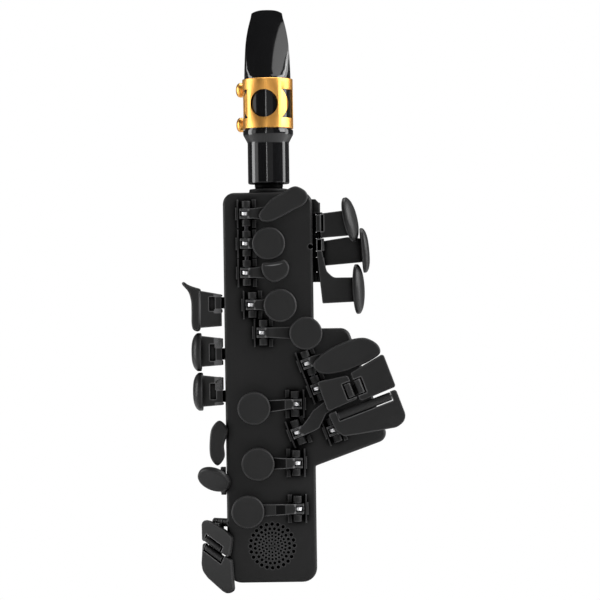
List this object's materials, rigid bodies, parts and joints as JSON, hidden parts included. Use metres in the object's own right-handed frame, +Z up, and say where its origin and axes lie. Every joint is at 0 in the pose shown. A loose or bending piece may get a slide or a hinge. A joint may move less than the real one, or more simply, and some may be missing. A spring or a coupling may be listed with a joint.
{
  "type": "digital wind controller",
  "caption": "Saxophone-shaped electronic wind instrument: black box body with a side wing, hinged keys, a speaker grille and a real mouthpiece with a gold ligature.",
  "frame": {"origin": "centre of the flat foot face of the body box, between the two moulded shells", "axes": "+Z up the body to the mouthpiece, -Y is the front that carries the finger keys, +X to the wing with the left little-finger table"},
  "size_m": [0.1161, 0.0688, 0.3083],
  "materials": {
    "shell_black": "fine moulded texture",
    "key_black": "satin",
    "mouthpiece_black": "polished",
    "gold": "polished gold lacquer",
    "steel": "bright nickel",
    "rod_black": "blackened steel",
    "soft_black": "matt",
    "board_green": "solder mask",
    "battery_foil": "foil",
    "cane": "bare cane",
    "cork_tan": "bare cork"
  },
  "bodies": {
    "case": {"front_shell": "shell_black", "rear_shell": "shell_black", "main_board": "board_green", "battery": "battery_foil", "breath_sensor": "soft_black", "speaker": "soft_black", "usb_port": "steel", "headphone_jack": "soft_black", "neck_socket": "shell_black", "neck_tube": "shell_black", "neck_cork": "cork_tan", "upper_stack_rod": "rod_black", "a_rod": "rod_black", "g_rod": "rod_black", "f_rod": "rod_black", "e_rod": "rod_black", "d_rod": "rod_black", "table_rod_upper": "rod_black", "table_rod_lower": "rod_black", "low_b_rod": "rod_black", "palm_rod": "rod_black", "thumb_rest": "soft_black", "thumb_hook": "shell_black", "strap_ring": "steel"},
    "front_f_key": {"front_f_key": "key_black"},
    "b_key": {"b_key": "key_black"},
    "bis_key": {"bis_key": "key_black"},
    "a_key": {"a_key": "key_black"},
    "g_key": {"g_key": "key_black"},
    "f_key": {"f_key": "key_black"},
    "e_key": {"e_key": "key_black"},
    "d_key": {"d_key": "key_black"},
    "g_sharp_key": {"g_sharp_key": "key_black"},
    "c_sharp_key": {"c_sharp_key": "key_black"},
    "b_flat_key": {"b_flat_key": "key_black"},
    "low_b_key": {"low_b_key": "key_black"},
    "c_sharp_roller": {"c_sharp_roller": "key_black"},
    "b_flat_roller": {"b_flat_roller": "key_black"},
    "low_b_roller": {"low_b_roller": "key_black"},
    "side_e_key": {"side_e_key": "key_black"},
    "side_c_key": {"side_c_key": "key_black"},
    "side_b_flat_key": {"side_b_flat_key": "key_black"},
    "palm_d_key": {"palm_d_key": "key_black"},
    "palm_f_key": {"palm_f_key": "key_black"},
    "palm_e_flat_key": {"palm_e_flat_key": "key_black"},
    "high_f_sharp_key": {"high_f_sharp_key": "key_black"},
    "f_sharp_trill_key": {"f_sharp_trill_key": "key_black"},
    "e_flat_key": {"e_flat_key": "key_black"},
    "low_c_key": {"low_c_key": "key_black"},
    "e_flat_roller": {"e_flat_roller": "key_black"},
    "low_c_roller": {"low_c_roller": "key_black"},
    "octave_key": {"octave_key": "key_black"},
    "mouthpiece_set": {"mouthpiece": "mouthpiece_black", "reed": "cane", "ligature": "gold"},
    "ligature_screw_upper": {"ligature_screw_upper": "gold"},
    "ligature_screw_lower": {"ligature_screw_lower": "gold"},
    "power_button": {"power_button": "soft_black"}
  },
  "joints": [
    {"name": "front_f_key_press", "type": "hinge", "parent": "case", "child": "front_f_key", "pos_m": [-0.0112, -0.02, 0.1938], "axis": [0, 0, 1], "range_deg": [0, 8.7], "stiffness_Nm_per_rad": 0.02, "springref_deg": -14.32},
    {"name": "b_key_press", "type": "hinge", "parent": "case", "child": "b_key", "pos_m": [-0.0112, -0.02, 0.1781], "axis": [0, 0, 1], "range_deg": [0, 12], "stiffness_Nm_per_rad": 0.02, "springref_deg": -14.32},
    {"name": "bis_key_press", "type": "hinge", "parent": "case", "child": "bis_key", "pos_m": [-0.0112, -0.02, 0.1628], "axis": [0, 0, 1], "range_deg": [0, 10], "stiffness_Nm_per_rad": 0.02, "springref_deg": -14.32},
    {"name": "a_key_press", "type": "hinge", "parent": "case", "child": "a_key", "pos_m": [-0.0086, -0.02, 0.146], "axis": [0, 0, 1], "range_deg": [0, 11], "stiffness_Nm_per_rad": 0.02, "springref_deg": -14.32},
    {"name": "g_key_press", "type": "hinge", "parent": "case", "child": "g_key", "pos_m": [-0.0031, -0.02, 0.1314], "axis": [0, 0, 1], "range_deg": [0, 7.5], "stiffness_Nm_per_rad": 0.02, "springref_deg": -14.32},
    {"name": "f_key_press", "type": "hinge", "parent": "case", "child": "f_key", "pos_m": [0.0131, -0.02, 0.0938], "axis": [0, 0, -1], "range_deg": [0, 7.8], "stiffness_Nm_per_rad": 0.02, "springref_deg": -14.32},
    {"name": "e_key_press", "type": "hinge", "parent": "case", "child": "e_key", "pos_m": [0.0132, -0.02, 0.0629], "axis": [0, 0, -1], "range_deg": [0, 8.5], "stiffness_Nm_per_rad": 0.02, "springref_deg": -14.32},
    {"name": "d_key_press", "type": "hinge", "parent": "case", "child": "d_key", "pos_m": [0.0136, -0.02, 0.0389], "axis": [0, 0, -1], "range_deg": [0, 6.5], "stiffness_Nm_per_rad": 0.02, "springref_deg": -14.32},
    {"name": "g_sharp_key_press", "type": "hinge", "parent": "case", "child": "g_sharp_key", "pos_m": [0.0203, -0.02, 0.1152], "axis": [-0.3469, 0, 0.9379], "range_deg": [0, 8], "stiffness_Nm_per_rad": 0.02, "springref_deg": -14.32},
    {"name": "c_sharp_key_press", "type": "hinge", "parent": "case", "child": "c_sharp_key", "pos_m": [0.02519, -0.02, 0.10198], "axis": [-0.3469, 0, 0.9379], "range_deg": [0, 7.5], "stiffness_Nm_per_rad": 0.02, "springref_deg": -14.32},
    {"name": "b_flat_key_press", "type": "hinge", "parent": "case", "child": "b_flat_key", "pos_m": [0.03331, -0.02, 0.08003], "axis": [-0.3469, 0, 0.9379], "range_deg": [0, 6], "stiffness_Nm_per_rad": 0.02, "springref_deg": -14.32},
    {"name": "low_b_key_press", "type": "hinge", "parent": "case", "child": "low_b_key", "pos_m": [0.01458, -0.02, 0.07907], "axis": [-0.3469, 0, 0.9379], "range_deg": [0, 4.8], "stiffness_Nm_per_rad": 0.02, "springref_deg": -14.32},
    {"name": "c_sharp_roller_spin", "type": "hinge", "parent": "c_sharp_key", "child": "c_sharp_roller", "pos_m": [0.04149, -0.0274, 0.10086], "axis": [-0.3469, 0, 0.9379], "continuous": true},
    {"name": "b_flat_roller_spin", "type": "hinge", "parent": "b_flat_key", "child": "b_flat_roller", "pos_m": [0.04929, -0.0274, 0.09245], "axis": [0.9379, 0, 0.3469], "continuous": true},
    {"name": "low_b_roller_spin", "type": "hinge", "parent": "low_b_key", "child": "low_b_roller", "pos_m": [0.04661, -0.0274, 0.10286], "axis": [-0.3469, 0, 0.9379], "continuous": true},
    {"name": "side_e_key_press", "type": "hinge", "parent": "case", "child": "side_e_key", "pos_m": [-0.0267, -0.0095, 0.1473], "axis": [0, 0, -1], "range_deg": [0, 8], "stiffness_Nm_per_rad": 0.02, "springref_deg": -14.32},
    {"name": "side_c_key_press", "type": "hinge", "parent": "case", "child": "side_c_key", "pos_m": [-0.0267, -0.0095, 0.1203], "axis": [0, 0, -1], "range_deg": [0, 8], "stiffness_Nm_per_rad": 0.02, "springref_deg": -14.32},
    {"name": "side_b_flat_key_press", "type": "hinge", "parent": "case", "child": "side_b_flat_key", "pos_m": [-0.0267, -0.0095, 0.098], "axis": [0, 0, -1], "range_deg": [0, 8], "stiffness_Nm_per_rad": 0.02, "springref_deg": -14.32},
    {"name": "palm_d_key_press", "type": "hinge", "parent": "case", "child": "palm_d_key", "pos_m": [0.0267, -0.0095, 0.188], "axis": [0, 0, 1], "range_deg": [0, 7], "stiffness_Nm_per_rad": 0.02, "springref_deg": -14.32},
    {"name": "palm_f_key_press", "type": "hinge", "parent": "case", "child": "palm_f_key", "pos_m": [0.0267, -0.0095, 0.177], "axis": [0, 0, 1], "range_deg": [0, 9], "stiffness_Nm_per_rad": 0.02, "springref_deg": -14.32},
    {"name": "palm_e_flat_key_press", "type": "hinge", "parent": "case", "child": "palm_e_flat_key", "pos_m": [0.0267, -0.0095, 0.1667], "axis": [0, 0, 1], "range_deg": [0, 9], "stiffness_Nm_per_rad": 0.02, "springref_deg": -14.32},
    {"name": "high_f_sharp_key_press", "type": "hinge", "parent": "case", "child": "high_f_sharp_key", "pos_m": [-0.025, -0.013, 0.081], "axis": [1, 0, 0], "range_deg": [0, 8], "stiffness_Nm_per_rad": 0.02, "springref_deg": -14.32},
    {"name": "f_sharp_trill_key_press", "type": "hinge", "parent": "case", "child": "f_sharp_trill_key", "pos_m": [-0.025, -0.006, 0.048], "axis": [-1, 0, 0], "range_deg": [0, 6], "stiffness_Nm_per_rad": 0.02, "springref_deg": -14.32},
    {"name": "e_flat_key_press", "type": "hinge", "parent": "case", "child": "e_flat_key", "pos_m": [-0.02636, -0.01216, 0.0317], "axis": [0.8192, -0.5736, 0], "range_deg": [0, 5.8], "stiffness_Nm_per_rad": 0.02, "springref_deg": -14.32},
    {"name": "low_c_key_press", "type": "hinge", "parent": "case", "child": "low_c_key", "pos_m": [-0.02915, -0.01021, 0.0317], "axis": [0.8192, -0.5736, 0], "range_deg": [0, 4.5], "stiffness_Nm_per_rad": 0.02, "springref_deg": -14.32},
    {"name": "e_flat_roller_spin", "type": "hinge", "parent": "e_flat_key", "child": "e_flat_roller", "pos_m": [-0.03051, -0.01512, 0.0205], "axis": [0.7144, -0.5002, -0.4894], "continuous": true},
    {"name": "low_c_roller_spin", "type": "hinge", "parent": "low_c_key", "child": "low_c_roller", "pos_m": [-0.03018, -0.01535, 0.0157], "axis": [0.7144, -0.5002, -0.4894], "continuous": true},
    {"name": "octave_key_press", "type": "hinge", "parent": "case", "child": "octave_key", "pos_m": [0, 0.0206, 0.187], "axis": [-1, 0, 0], "range_deg": [0, 5], "stiffness_Nm_per_rad": 0.02, "springref_deg": -14.32},
    {"name": "mouthpiece_tuning_slide", "type": "slide", "parent": "case", "child": "mouthpiece_set", "axis": [0, 0, 1], "range_m": [0, 0.006]},
    {"name": "ligature_screw_upper_turn", "type": "hinge", "parent": "mouthpiece_set", "child": "ligature_screw_upper", "pos_m": [-0.0127, 0.0172, 0.2615], "axis": [-1, 0, 0], "continuous": true},
    {"name": "ligature_screw_lower_turn", "type": "hinge", "parent": "mouthpiece_set", "child": "ligature_screw_lower", "pos_m": [-0.0127, 0.0172, 0.2428], "axis": [-1, 0, 0], "continuous": true},
    {"name": "power_button_press", "type": "slide", "parent": "case", "child": "power_button", "axis": [0, -1, 0], "range_m": [0, 0.001], "stiffness_N_per_m": 600, "springref_m": -0.002}
  ]
}
